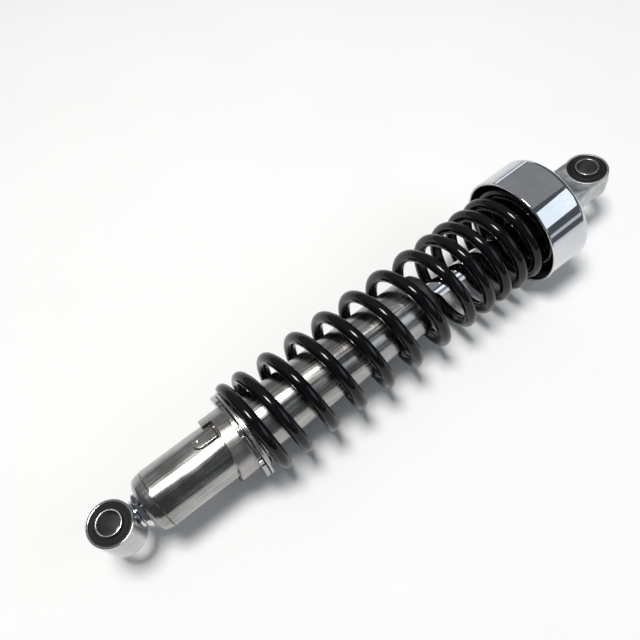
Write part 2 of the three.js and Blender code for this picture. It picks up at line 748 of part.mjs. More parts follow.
function pistonNut() {
  const bore = rod(NUT_START - 1, NUT_START + PISTON_NUT + 1, STUB_BORE, SMALL);
  return cut(hexagon(NUT_START, NUT_START + PISTON_NUT, PISTON_NUT_FLATS), bore);
}

function lockNut() {
  const bore = rod(LOCK_NUT_START - 1, COVER_INSIDE, ROD_BORE, SMALL);
  return cut(hexagon(LOCK_NUT_START, LOCK_NUT_START + LOCK_NUT, LOCK_NUT_FLATS), bore);
}

// The bump stop: a rubber cone with a waist, widest against its washer.
function bumpStop() {
  const end = STOP_START + STOP_LENGTH;
  return turned([
    [STOP_START, ROD_BORE],
    [end, ROD_BORE],
    [end, STOP_RADIUS],
    [STOP_START + STOP_LENGTH * 0.62, STOP_RADIUS - 0.3],
    [STOP_START + STOP_LENGTH * 0.5, STOP_WAIST],
    [STOP_START + STOP_LENGTH * 0.38, STOP_WAIST + 1],
    [STOP_START + 1.5, STOP_NOSE + 1.2],
    [STOP_START, STOP_NOSE],
  ], MEDIUM);
}

const stopWasher = () =>
  pipe(STOP_WASHER_START, STOP_WASHER_START + STOP_WASHER, ROD_BORE, STOP_RADIUS + 0.5, MEDIUM);

const topoutBumper = () =>
  pipe(BUMPER_START, BUMPER_START + TOPOUT_LENGTH, ROD_BORE, DISC_RADIUS, SMALL);

// A flat ring on the rod's thin stub.
const stubRing = (start, length, radius) => pipe(start, start + length, STUB_BORE, radius, SMALL);

piece("piston_rod", pistonRod(), CHROME);
piece("piston_nut", pistonNut(), STEEL);
piece("rebound_shims", stubRing(REBOUND_START, SHIM_STACK, DISC_RADIUS), ZINC);
piece("piston", piston(), STEEL);
piece("piston_band", pistonBand(), BRONZE);
piece("compression_shims", stubRing(COMPRESSION_START, SHIM_STACK, DISC_RADIUS), ZINC);
piece("backing_washer", stubRing(BACKING_START, BACKING, BACKING_RADIUS), STEEL);
piece("topout_bumper", topoutBumper(), RUBBER);
piece("bump_stop", bumpStop(), RUBBER);
piece("bump_stop_washer", stopWasher(), ZINC);
piece("rod_lock_nut", lockNut(), ZINC);

// ---------------------------------------------------------------- cover

// A drawn cup with a rolled rim, open towards the spring, its closed corner a quarter round.
function topCover() {
  const outside = [];
  const inside = [];
  const steps = 3;
  for (let i = 0; i <= steps; i += 1) {
    const angle = (Math.PI / 2) * (i / steps);
    const station = (radius) => COVER_END - COVER_CORNER + radius * Math.sin(angle);
    const height = (radius) => COVER_RADIUS - COVER_CORNER + radius * Math.cos(angle);
    outside.push([station(COVER_CORNER), height(COVER_CORNER)]);
    inside.push([station(COVER_CORNER - COVER_WALL), height(COVER_CORNER - COVER_WALL)]);
  }
  const rim = 0.6;
  return turned([
    [COVER_START, COVER_RADIUS - COVER_WALL],
    [COVER_START, COVER_RADIUS - rim],
    [COVER_START + rim, COVER_RADIUS],
    ...outside,
    [COVER_END, ROD_BORE],
    [COVER_INSIDE, ROD_BORE],
    ...inside.reverse(),
  ]);
}

piece("top_cover", topCover(), CHROME);

// ---------------------------------------------------------------- upper eye

const UPPER_EYE_BORE = UPPER_EYE_RADIUS - UPPER_EYE_WALL;

// The neck between the round foot on the cover and the flat boss round the bush.
// Each section is a superellipse, from round at the foot to a rounded rectangle at the boss.
function neck() {
  const foot = COVER_END + GAP - EYE_TO_EYE;
  const tip = -6;
  const points = MEDIUM;
  const sections = 8;
  const rings = [];
  for (let i = 0; i <= sections; i += 1) {
    const t = i / sections;
    const x = foot + (tip - foot) * t;
    const ease = smooth(Math.min(1, t * 1.25));
    const halfWidth = THREE.MathUtils.lerp(NECK_RADIUS, UPPER_EYE_RADIUS - 1.2, ease);
    const halfHeight = THREE.MathUtils.lerp(NECK_RADIUS - 1, UPPER_EYE_HALF_WIDTH, ease);
    const power = THREE.MathUtils.lerp(1, 0.34, ease);
    const ring = [];
    for (let k = 0; k < points; k += 1) {
      const angle = (2 * Math.PI * (k + 0.5)) / points;
      const [c, s] = [Math.cos(angle), Math.sin(angle)];
      const y = halfWidth * Math.sign(c) * Math.abs(c) ** power;
      const z = halfHeight * Math.sign(s) * Math.abs(s) ** power;
      ring.push(new THREE.Vector3(x, y, z));
    }
    rings.push(ring);
  }
  return loft(rings);
}

function upperEye() {
  const boss = turnedUpright([
    [-UPPER_EYE_HALF_WIDTH, 0],
    [UPPER_EYE_HALF_WIDTH, 0],
    [UPPER_EYE_HALF_WIDTH, UPPER_EYE_RADIUS - 0.7],
    [UPPER_EYE_HALF_WIDTH - 0.7, UPPER_EYE_RADIUS],
    [-UPPER_EYE_HALF_WIDTH + 0.7, UPPER_EYE_RADIUS],
    [-UPPER_EYE_HALF_WIDTH, UPPER_EYE_RADIUS - 0.7],
  ], 40);
  const bushBore = turnedUpright([[-30, 0], [30, 0], [30, UPPER_EYE_BORE], [-30, UPPER_EYE_BORE]], 40);
  const threadEnd = ROD_END + GAP - EYE_TO_EYE;
  const threadStart = COVER_END - 5 - EYE_TO_EYE;
  return cut(join(boss, neck()), bushBore, rod(threadStart, threadEnd, ROD_BORE, SMALL));
}

piece("upper_eye", upperEye(), CAST, upperEyeGroup);
piece("upper_rubber_bush", rubberBush(UPPER_EYE_HALF_WIDTH, UPPER_EYE_BORE), RUBBER, upperEyeGroup);
piece("upper_sleeve", sleeve(UPPER_EYE_HALF_WIDTH), ZINC, upperEyeGroup);

export default shock;
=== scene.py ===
# %% [markdown]
# # A motorcycle's rear shock absorber
# A damper with a bright body stands inside a black coil spring. Two rubber-bushed eyes carry it, a
# stepped collar at the lower end sets the spring's preload, and a chromed cover hides the spring's
# upper seat. The CAD model fixes every size and every joint. This lesson dresses it: each visible
# piece becomes one smooth surface worked out with numpy and gets its own finish, and each piece but
# the spring rides on the CAD body that it belongs to.

import math

import bpy
import numpy as np
from mathutils import Matrix, Vector


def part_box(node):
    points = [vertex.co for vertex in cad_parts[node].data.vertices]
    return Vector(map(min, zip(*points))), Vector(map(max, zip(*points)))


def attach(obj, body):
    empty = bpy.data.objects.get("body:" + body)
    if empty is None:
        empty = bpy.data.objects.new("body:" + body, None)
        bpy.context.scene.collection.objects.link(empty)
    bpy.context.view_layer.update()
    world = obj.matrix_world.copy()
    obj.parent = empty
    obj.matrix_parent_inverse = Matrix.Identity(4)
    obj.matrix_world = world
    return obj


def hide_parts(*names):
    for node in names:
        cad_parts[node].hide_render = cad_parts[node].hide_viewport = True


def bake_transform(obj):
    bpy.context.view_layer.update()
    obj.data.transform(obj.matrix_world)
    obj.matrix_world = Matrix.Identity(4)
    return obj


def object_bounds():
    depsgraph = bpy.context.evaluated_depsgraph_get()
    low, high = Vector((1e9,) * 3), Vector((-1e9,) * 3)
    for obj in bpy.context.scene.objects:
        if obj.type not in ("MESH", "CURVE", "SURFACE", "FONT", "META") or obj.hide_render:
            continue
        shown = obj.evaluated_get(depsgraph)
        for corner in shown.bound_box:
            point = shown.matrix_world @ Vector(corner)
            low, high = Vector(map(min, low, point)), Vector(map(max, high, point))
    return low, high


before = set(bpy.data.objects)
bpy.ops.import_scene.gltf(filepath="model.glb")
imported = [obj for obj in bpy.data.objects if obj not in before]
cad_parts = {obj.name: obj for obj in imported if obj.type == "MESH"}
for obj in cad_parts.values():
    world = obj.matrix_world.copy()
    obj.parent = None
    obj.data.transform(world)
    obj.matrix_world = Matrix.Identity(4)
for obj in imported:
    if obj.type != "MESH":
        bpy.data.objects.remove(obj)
cad_low, cad_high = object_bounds()
print("CAD box, mm:", [round(1000 * (b - a), 2) for a, b in zip(cad_low, cad_high)])

# %% [markdown]
# ## Measures taken from the frame
# Along the damper every place is a station: millimetres from the lower eye's centre, towards the
# upper eye. A helper reads a CAD node's first and last station and its outermost radius; the cell
# below prints them for three nodes.

# %% Stations and radii
MM = 0.001
LOWER_EYE = sum(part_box("lower_sleeve"), Vector()) / 2
UPPER_EYE = sum(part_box("upper_sleeve"), Vector()) / 2
EYE_TO_EYE = (UPPER_EYE.x - LOWER_EYE.x) / MM
UPPER_EYE_TWIST = -6.6  # degrees about the damper's axis


def node_points(node):
    """The corners of a CAD node as an array, in mm from the lower eye's centre."""
    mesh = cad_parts[node].data
    points = np.empty(3 * len(mesh.vertices))
    mesh.vertices.foreach_get("co", points)
    return (points.reshape(-1, 3) - np.array(LOWER_EYE)) / MM


def span(node):
    """First station, last station and outermost radius about the damper's axis, in mm."""
    x, y, z = node_points(node).T
    return x.min(), x.max(), np.hypot(y, z).max()


for name in ("damper_body_tube", "coil_spring", "top_cover"):
    print(name, "first, last station, radius:", [round(float(v), 2) for v in span(name)])

# %% [markdown]
# ## From arrays to meshes
# Every piece below is a grid of points: rows run along a profile, columns run round an axis or
# along a path. One helper joins such a grid into quads, closes it, measures its signed volume and
# turns the faces outwards if that volume is negative. Edges that turn by more than a given angle
# stay sharp, and the rest is shaded smooth.


# %% Grid to mesh
def grid_piece(name, points, wrap_rows=True, materials=(), face_slots=None, sharp=35):
    """A closed piece from points[row, column], in mm: columns always join up; rows join up too, or
    each end gets a fan. Its volume is a sixth of the sum of a . (b x c) over its triangles."""
    rows, columns = points.shape[:2]
    flat = points.reshape(-1, 3)
    index = np.arange(rows * columns).reshape(rows, columns)
    below = index if wrap_rows else index[:-1]
    above = np.roll(index, -1, axis=0) if wrap_rows else index[1:]
    quads = np.stack([below, np.roll(below, -1, 1), np.roll(above, -1, 1), above], axis=-1)
    quads = quads.reshape(-1, 4)
    fans = np.empty((0, 3), int)
    if not wrap_rows:
        centres = np.array([points[0].mean(0), points[-1].mean(0)])
        flat = np.vstack([flat, centres])
        first, last = index[0], index[-1]
        start = np.stack([np.roll(first, -1), first, np.full(columns, rows * columns)], axis=-1)
        end = np.stack([last, np.roll(last, -1), np.full(columns, rows * columns + 1)], axis=-1)
        fans = np.vstack([start, end])
    triangles = np.vstack([quads[:, [0, 1, 2]], quads[:, [0, 2, 3]], fans])
    a, b, c = (flat[triangles[:, k]] for k in range(3))
    volume = np.einsum("ij,ij->i", a, np.cross(b, c)).sum() / 6
    if volume < 0:
        quads, fans = quads[:, ::-1], fans[:, ::-1]
    corners = np.concatenate([quads.ravel(), fans.ravel()])
    totals = np.concatenate([np.full(len(quads), 4), np.full(len(fans), 3)])
    starts = np.concatenate([[0], np.cumsum(totals)[:-1]])
    mesh = bpy.data.meshes.new(name)
    mesh.vertices.add(len(flat))
    mesh.vertices.foreach_set("co", (flat * MM + np.array(LOWER_EYE)).ravel())
    mesh.loops.add(len(corners))
    mesh.loops.foreach_set("vertex_index", corners.astype(np.int32))
    mesh.polygons.add(len(totals))
    mesh.polygons.foreach_set("loop_start", starts.astype(np.int32))
    mesh.update(calc_edges=True)
    mesh.polygons.foreach_set("use_smooth", np.ones(len(totals), bool))
    mesh.set_sharp_from_angle(angle=math.radians(sharp))
    for material in materials:
        mesh.materials.append(material)
    if face_slots is not None:
        per_quad = np.repeat(face_slots[: len(below)], columns)
        slots = np.concatenate([per_quad, np.zeros(len(fans), int)])
        mesh.polygons.foreach_set("material_index", slots)
    mesh.validate()
    piece = bpy.data.objects.new(name, mesh)
    bpy.context.scene.collection.objects.link(piece)
    print(f"{name}: {len(totals)} faces, {abs(volume) / 1000:.2f} cm3")
    return piece


# %% [markdown]
# ## Profiles with real edges
# Machined and drawn metal never ends in a knife edge, and a thin bright line on a rounded edge is
# what tells the eye that it is metal. An outline is a list of corners, each with its own fillet.
# Every corner becomes a short arc, with one more point just before and after it, which keeps the
# shading of the flats beside it flat.


# %% Rounded outlines
SUPPORT = 0.12  # mm from the end of an arc to its support point
ARC_STEPS = 5
NEARLY_STRAIGHT = 1.55  # rad: a corner whose half angle is wider needs no arc
HALF_EDGE = 0.49  # the share of an edge that one corner's points may use


def arc_at(before, corner, after, fillet):
    """Points of the arc that touches both edges: its centre lies on the corner's bisector, at
    fillet / sin(half the corner's angle) from the corner."""
    to_before, to_after = before - corner, after - corner
    long_before, long_after = np.linalg.norm(to_before), np.linalg.norm(to_after)
    u, v = to_before / long_before, to_after / long_after
    half = math.acos(max(-1, min(1, float(u @ v)))) / 2
    if fillet <= 0 or half > NEARLY_STRAIGHT:
        return corner[None, :]
    reach = fillet / math.tan(half)
    centre = corner + (u + v) / np.linalg.norm(u + v) * fillet / math.sin(half)
    start, end = corner + u * reach - centre, corner + v * reach - centre
    turn = math.pi - 2 * half
    t = np.linspace(0, 1, ARC_STEPS + 1)[:, None]
    arc = centre + (np.sin((1 - t) * turn) * start + np.sin(t * turn) * end) / math.sin(turn)
    lead = corner + u * min(reach + SUPPORT, HALF_EDGE * long_before)
    tail = corner + v * min(reach + SUPPORT, HALF_EDGE * long_after)
    return np.vstack([lead, arc, tail])


def rounded(corners):
    """A closed outline of [station, radius, fillet] corners, as [station, radius] points."""
    places = np.array([c[:2] for c in corners], float)
    arcs = [
        arc_at(places[i - 1], places[i], places[(i + 1) % len(places)], corners[i][2])
        for i in range(len(places))
    ]
    return np.vstack(arcs)


def turned(outline, sides=144):
    """A solid turned about the damper's axis: (station, radius cos angle, radius sin angle)."""
    angle = np.linspace(0, 2 * np.pi, sides, endpoint=False)
    station, radius = outline[:, :1], outline[:, 1:2]
    return np.stack([station + 0 * angle, radius * np.cos(angle), radius * np.sin(angle)], axis=-1)


def turned_upright(outline, centre_x, twist=0.0, sides=144):
    """The same about an eye's own upright axis, with [height, radius] points, then turned about X
    by the twist."""
    angle = np.linspace(0, 2 * np.pi, sides, endpoint=False)
    height, radius = outline[:, :1], outline[:, 1:2]
    y, z = radius * np.sin(angle), height + 0 * angle
    c, s = math.cos(math.radians(twist)), math.sin(math.radians(twist))
    return np.stack([centre_x + radius * np.cos(angle), c * y - s * z, s * y + c * z], axis=-1)


def ease(t):
    """0 below 0, 1 above 1, and 3t^2 - 2t^3 between."""
    t = np.clip(t, 0, 1)
    return t * t * (3 - 2 * t)


# %% [markdown]
# ## Finishes
# Each finish is a small node network on the Principled shader. The colour, the roughness and a fine
# bump all vary: polishing leaves faint streaks along a tube, plating is smoother but never perfect,
# and cast metal keeps a grain. One helper builds the variation they share, so that each finish
# below only says what is its own.


# %% A helper for node networks
def node(tree, kind, inputs=(), **settings):
    """Adds a shader node, sets its properties, and fills its inputs, by index or name, with a
    value or a link."""
    made = tree.nodes.new(kind)
    for key, value in settings.items():
        setattr(made, key, value)
    for key, value in dict(inputs).items():
        if isinstance(value, bpy.types.NodeSocket):
            tree.links.new(value, made.inputs[key])
        else:
            made.inputs[key].default_value = value
    return made


def new_finish(name, **uniform):
    """A material with a Principled shader: uniform values sit on the shader's own sockets."""
    material = bpy.data.materials.new(name)
    material.use_nodes = True
    tree = material.node_tree
    shader = tree.nodes["Principled BSDF"]
    for socket, value in uniform.items():
        shader.inputs[socket.replace("_", " ")].default_value = value
    return material, tree, shader


def place(tree, scale=(1, 1, 1)):
    """Object coordinates, scaled along each axis; a small scale along one draws streaks along it."""
    coordinates = node(tree, "ShaderNodeTexCoord").outputs["Object"]
    return node(tree, "ShaderNodeMapping", {"Vector": coordinates, "Scale": scale}).outputs[0]


def noise(tree, vector, scale, detail=3.0, rough=0.5):
    """Noise from 0 to 1 at a number of features per metre."""
    inputs = {"Vector": vector, "Scale": scale, "Detail": detail, "Roughness": rough}
    return node(tree, "ShaderNodeTexNoise", inputs).outputs[0]


def spread(tree, value, low, high, start=0.3, end=0.7):
    """Maps a value's range start to end onto low to high."""
    inputs = {"Value": value, "From Min": start, "From Max": end, "To Min": low, "To Max": high}
    return node(tree, "ShaderNodeMapRange", inputs, interpolation_type="SMOOTHSTEP").outputs[0]


def tint(tree, factor, dark, light):
    """A colour between two others."""
    ramp = node(tree, "ShaderNodeMix", {0: factor}, data_type="RGBA")
    ramp.inputs[6].default_value = (*dark, 1)
    ramp.inputs[7].default_value = (*light, 1)
    return ramp.outputs[2]


def bump(tree, shader, height, strength, distance):
    """Fine relief: the height is 0 to 1 of the distance, in metres."""
    inputs = {"Strength": strength, "Distance": distance, "Height": height}
    tree.links.new(node(tree, "ShaderNodeBump", inputs).outputs[0], shader.inputs["Normal"])


# %% [markdown]
# ### Polished and plated metal
# The tube and collar are steel polished along their length on a belt, then flashed with plate: a
# warm grey mirror drawn out into soft lengthwise streaks. The cover, the rod and the lower eye are
# chromed: brighter, bluer, almost a perfect mirror, with a very slight waviness left by buffing.


# %% Metal finishes
STREAK_GRAIN, CLOUD_GRAIN = 900, 45  # features per metre across the streaks, and in the clouds


def polished_metal(name, dark, light, roughness, streaks, waves, swell=0.0):
    """The mottle is streaks times clouds. Streaks run along the damper; roughness is a (low, high)
    pair; waves is the streaks' relief in metres, and swell is how many times deeper the broad
    waviness is that buffing leaves."""
    material, tree, shader = new_finish(name, Metallic=1.0)
    along = noise(tree, place(tree, (streaks, 1, 1)), STREAK_GRAIN, 4, 0.6)
    cloudy = noise(tree, place(tree), CLOUD_GRAIN)
    mottle = node(tree, "ShaderNodeMath", {0: along, 1: cloudy}, operation="MULTIPLY").outputs[0]
    color = tint(tree, spread(tree, mottle, 0, 1, 0.12, 0.42), dark, light)
    tree.links.new(color, shader.inputs["Base Color"])
    tree.links.new(spread(tree, mottle, *roughness, 0.15, 0.4), shader.inputs["Roughness"])
    inputs = {0: cloudy, 1: swell, 2: along}
    waviness = node(tree, "ShaderNodeMath", inputs, operation="MULTIPLY_ADD").outputs[0]
    bump(tree, shader, waviness, 0.6, waves)
    return material


CHROME = polished_metal(
    "bright_chrome", dark=(0.60, 0.615, 0.64), light=(0.70, 0.71, 0.73),
    roughness=(0.03, 0.07), streaks=0.2, waves=2e-6, swell=14,
)  # fmt: skip
POLISHED_STEEL = polished_metal(
    "polished_steel", dark=(0.27, 0.26, 0.25), light=(0.50, 0.49, 0.475),
    roughness=(0.16, 0.30), streaks=0.04, waves=1.3e-5,
)  # fmt: skip
RIM_STEEL = polished_metal(
    "rim_steel", dark=(0.32, 0.315, 0.305), light=(0.48, 0.47, 0.46),
    roughness=(0.13, 0.24), streaks=0.2, waves=3e-6,
)  # fmt: skip
SATIN_STEEL = polished_metal(
    "satin_steel", dark=(0.30, 0.29, 0.28), light=(0.44, 0.43, 0.42),
    roughness=(0.24, 0.36), streaks=0.12, waves=3e-6,
)  # fmt: skip
PLATED_STEEL = polished_metal(
    "plated_steel", dark=(0.42, 0.42, 0.42), light=(0.54, 0.54, 0.54),
    roughness=(0.06, 0.14), streaks=0.4, waves=2e-6, swell=8,
)  # fmt: skip
ZINC_PLATE = polished_metal(
    "zinc_plate", dark=(0.38, 0.38, 0.37), light=(0.52, 0.52, 0.51),
    roughness=(0.2, 0.34), streaks=0.5, waves=4e-6,
)  # fmt: skip
PLAIN_STEEL = polished_metal(
    "machined_steel", dark=(0.33, 0.33, 0.33), light=(0.48, 0.48, 0.49),
    roughness=(0.28, 0.45), streaks=0.3, waves=8e-6,
)  # fmt: skip
BEARING_BRONZE = polished_metal(
    "bearing_bronze", dark=(0.42, 0.27, 0.12), light=(0.62, 0.44, 0.24),
    roughness=(0.25, 0.4), streaks=0.3, waves=6e-6,
)  # fmt: skip

# %% [markdown]
# ### Cast alloy, coated wire, rubber and moulded plastic
# The upper eye is cast aluminium, tumbled bright: a satin skin with a fine grain. The spring's coat
# is gloss black with a very slight orange peel, which breaks up the edges of its highlights. Rubber
# is dull, with a dusty bloom and the grain of its mould.


# %% Cast, coated and moulded finishes
SKIN_GRAIN, TUMBLED_GRAIN, DUST_GRAIN = 2600, 160, 60  # features per metre


def cast_metal(name, dark, light, roughness):
    """Two sizes of grain: a fine one for the skin, and a broad one for what tumbling leaves."""
    material, tree, shader = new_finish(name, Metallic=1.0)
    fine = noise(tree, place(tree), SKIN_GRAIN, 4, 0.65)
    broad = noise(tree, place(tree), TUMBLED_GRAIN)
    tree.links.new(tint(tree, spread(tree, broad, 0, 1), dark, light), shader.inputs["Base Color"])
    tree.links.new(spread(tree, broad, *roughness), shader.inputs["Roughness"])
    height = node(tree, "ShaderNodeMath", {0: fine, 1: broad}, operation="ADD").outputs[0]
    bump(tree, shader, height, 0.5, 2.5e-5)
    return material


def coated(name, dark, light, roughness, peel, peel_scale, **uniform):
    """A dielectric skin with an even relief: peel is its depth in metres."""
    material, tree, shader = new_finish(name, **uniform)
    grain = noise(tree, place(tree), peel_scale, 2)
    cloudy = noise(tree, place(tree), DUST_GRAIN)
    tree.links.new(tint(tree, spread(tree, cloudy, 0, 1), dark, light), shader.inputs["Base Color"])
    tree.links.new(spread(tree, cloudy, *roughness), shader.inputs["Roughness"])
    bump(tree, shader, grain, 0.4, peel)
    return material


CAST_ALLOY = cast_metal(
    "cast_aluminium", dark=(0.42, 0.43, 0.44), light=(0.60, 0.61, 0.62), roughness=(0.38, 0.52)
)
GLOSS_BLACK = coated(
    "gloss_black_coat", dark=(0.002, 0.002, 0.0025), light=(0.004, 0.004, 0.005),
    roughness=(0.04, 0.07), peel=6e-6, peel_scale=500, IOR=1.38,
)  # fmt: skip
RUBBER = coated(
    "moulded_rubber", dark=(0.006, 0.006, 0.0065), light=(0.013, 0.013, 0.0135),
    roughness=(0.55, 0.75), peel=4e-5, peel_scale=1800, Specular_IOR_Level=0.25,
)  # fmt: skip
# Painted shade: the inside of the chromed cover is drawn dull black for the shade inside the cup.
COVER_PAINTED_SHADE = coated(
    "painted_shade_in_cover", dark=(0.008, 0.008, 0.008), light=(0.02, 0.02, 0.02),
    roughness=(0.5, 0.7), peel=2e-5, peel_scale=900, Specular_IOR_Level=0.3,
)  # fmt: skip
# Painted shade: the sleeves' bores are drawn dark for the shade down inside them.
BORE_PAINTED_SHADE = coated(
    "painted_shade_in_bore", dark=(0.07, 0.07, 0.068), light=(0.14, 0.14, 0.135),
    roughness=(0.35, 0.5), peel=2e-5, peel_scale=900,
)  # fmt: skip
BLACK_PLASTIC = coated(
    "moulded_cap", dark=(0.008, 0.008, 0.009), light=(0.016, 0.016, 0.018),
    roughness=(0.35, 0.5), peel=2e-5, peel_scale=1500,
)  # fmt: skip


def dress(piece, body, slot, *nodes):
    """A finished piece rides on its body and stands for its CAD nodes; its slot is not used."""
    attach(piece, body)
    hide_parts(*nodes)


# %% [markdown]
# ## Camera, table and light
# The camera looks down on the lying damper from the lower eye's side. Its axes are given as two
# directions in the room, right and up, and their cross product points back at the viewer.

# %% Camera
CAMERA_PLACE = Vector((-0.11086, -0.14597, 0.38708))
CAMERA_RIGHT = Vector((0.7864, -0.6104, -0.0950))
CAMERA_UP = Vector((0.5735, 0.6643, 0.4793))
LENS, SENSOR = 39.09, 36  # mm
camera = bpy.data.objects.new("camera", bpy.data.cameras.new("camera"))
bpy.context.scene.collection.objects.link(camera)
camera.data.sensor_width, camera.data.lens = SENSOR, LENS
backward = CAMERA_RIGHT.cross(CAMERA_UP).normalized()
upward = backward.cross(CAMERA_RIGHT).normalized()
axes = Matrix((CAMERA_RIGHT.normalized(), upward, backward)).transposed()
camera.matrix_world = Matrix.Translation(CAMERA_PLACE) @ axes.to_4x4()
camera.data.clip_start, camera.data.clip_end = 0.01, 20
bpy.context.scene.camera = camera
bpy.context.scene.view_settings.view_transform = "Standard"
print("camera to the table's middle, m:", round(CAMERA_PLACE.length, 3))

# %% [markdown]
# ### Table and lamps
# The table is a plain pale sheet. A small bright lamp high above gives crisp highlights on the
# coils and a soft-edged shadow, and a broad cool panel stands for a window, which fills the cover's
# mirror with its pale blue band. Two low strips draw the thin bright lines along the coils' sides.

# %% Table and lights
TABLE_HALF, TABLE_GAP = 1.4, 0.0002  # m: half its side, and how far it lies below the damper
DAMPER_MIDDLE = Vector((0, 0, 0.035))


def table_top():
    """A flat square sheet just below the object's lowest point."""
    x, y = np.meshgrid([-TABLE_HALF, TABLE_HALF], [-TABLE_HALF, TABLE_HALF])
    corners = np.stack([x.ravel(), y.ravel(), np.full(4, cad_low.z - TABLE_GAP)], axis=-1)
    mesh = bpy.data.meshes.new("table")
    mesh.from_pydata(corners.tolist(), [], [(0, 1, 3, 2)])
    made = bpy.data.objects.new("table", mesh)
    bpy.context.scene.collection.objects.link(made)
    material, tree, shader = new_finish("pale_table")
    cloudy = noise(tree, place(tree), 9, 2)
    color = tint(tree, cloudy, (0.86, 0.86, 0.86), (0.90, 0.90, 0.90))
    tree.links.new(color, shader.inputs["Base Color"])
    tree.links.new(spread(tree, cloudy, 0.75, 0.9), shader.inputs["Roughness"])
    shader.inputs["Specular IOR Level"].default_value = 0.1
    mesh.materials.append(material)


def panel_light(name, toward, distance, size, radiance, color):
    """An area light facing the damper's middle: its power is pi * area * radiance."""
    lamp = bpy.data.lights.new(name, "AREA")
    lamp.shape, lamp.size, lamp.size_y = "RECTANGLE", size[0], size[1]
    lamp.energy, lamp.color = math.pi * size[0] * size[1] * radiance, color
    made = bpy.data.objects.new(name, lamp)
    bpy.context.scene.collection.objects.link(made)
    direction = Vector(toward).normalized()
    made.location = DAMPER_MIDDLE + direction * distance
    made.rotation_euler = direction.to_track_quat("Z", "Y").to_euler()
    made.visible_camera = False


table_top()
WARM, COOL, NEUTRAL = (1.0, 0.985, 0.96), (0.84, 0.92, 1.0), (1.0, 0.98, 0.95)
# name: direction from the damper, distance and size in m, radiance, color
lights = {
    "key": ((-0.10, 0.06, 1.0), 1.5, (0.44, 0.44), 34, WARM),
    "window": ((0.54, -0.57, 0.61), 1.25, (1.0, 0.56), 1.35, COOL),
    "ceiling": ((0.0, 0.57, 0.82), 1.5, (3.4, 3.2), 0.2, NEUTRAL),
    "far_wall": ((0.1, 1.0, 0.05), 1.5, (3.0, 0.15), 1.1, COOL),
    "near_wall": ((0.55, -0.80, 0.18), 1.3, (0.9, 0.12), 0.6, COOL),
}
for name, (toward, distance, size, radiance, color) in lights.items():
    panel_light(name, toward, distance, size, radiance, color)

# %% [markdown]
# ### The room around the table
# Chrome shows whatever surrounds it. It needs a dim room to mirror, or it turns white all over, but
# a low view should see a pale wall behind the table. The Light Path node tells rays that come
# straight from the eye from reflected ones, so the world can be both.

# %% The room around the table
DIM_ROOM, PALE_WALL = 0.12, 0.6
world = bpy.data.worlds.new("room")
bpy.context.scene.world = world
world.use_nodes = True
room = world.node_tree
dim_room = room.nodes["Background"]
dim_room.inputs[0].default_value = (0.84, 0.91, 1.0, 1)
dim_room.inputs[1].default_value = DIM_ROOM
pale_wall = node(room, "ShaderNodeBackground", {0: (0.95, 0.965, 0.98, 1), 1: PALE_WALL})
seen = node(room, "ShaderNodeLightPath").outputs["Is Camera Ray"]
mixed = {0: seen, 1: dim_room.outputs[0], 2: pale_wall.outputs[0]}
backdrop = node(room, "ShaderNodeMixShader", mixed)
room.links.new(backdrop.outputs[0], room.nodes["World Output"].inputs["Surface"])

# %% [markdown]
# ## The lower eye
# A steel ring is welded to a threaded stud, plated bright, and filled with a rubber bush on a steel
# sleeve. The bush is the damper's joint to the machine: it is bonded to both, and twists. Each part
# here is one outline turned about the eye's upright axis, so an outline with its fillets says
# everything.

# %% Eye ring, bushes and sleeves
LOWER_RING, UPPER_RING = 12.4, 13.6
LOWER_HALF, UPPER_HALF = 11.5, 6.9
LOWER_BORE, UPPER_BORE = 11.0, 11.8
SLEEVE_OUTSIDE, SLEEVE_BORE, SLEEVE_PROUD = 7.0, 6.1, 1.8
BUSH_SUNK, BOND_GAP = 0.5, 0.05  # mm: the bush below its ring's face, and beside its metal
LIP_SHARE, GROOVE_DEPTH = 0.28, 0.8  # each lip's share of the bush's wall, and the groove, in mm


def ring_outline(half, inner, outer, fillet):
    """[height, radius] of a ring with rounded edges."""
    corners = [(-half, inner), (-half, outer), (half, outer), (half, inner)]
    return rounded([(*corner, fillet) for corner in corners])


def bush_outline(half, bore):
    """A bush's face: a lip against the sleeve, a shallow groove, and a lip against the eye."""
    inner, outer = SLEEVE_OUTSIDE + BOND_GAP, bore - BOND_GAP
    lip, middle = LIP_SHARE * (outer - inner), (inner + outer) / 2
    face = [(half, inner, 0.3), (half, inner + lip, 0.8), (half - GROOVE_DEPTH, middle, 1.2)]
    face += [(half, outer - lip, 0.8), (half, outer, 0.3)]
    return rounded(face + [(-h, r, fillet) for h, r, fillet in reversed(face)])


def inside_faces(outline, limit):
    """1 for the faces that lie within a radius, such as a bore's wall, and 0 for the others."""
    radius = outline[:, 1]
    return ((radius < limit) & (np.roll(radius, -1) < limit)).astype(np.int32)


def eye_piece(name, outline, centre, twist, *materials, bore=0.0):
    """An outline turned about an eye's axis; the wall of its bore may take a second material, which
    paints the bore's shade.
    """
    points = turned_upright(outline, centre, twist)
    return grid_piece(name, points, materials=materials, face_slots=inside_faces(outline, bore))


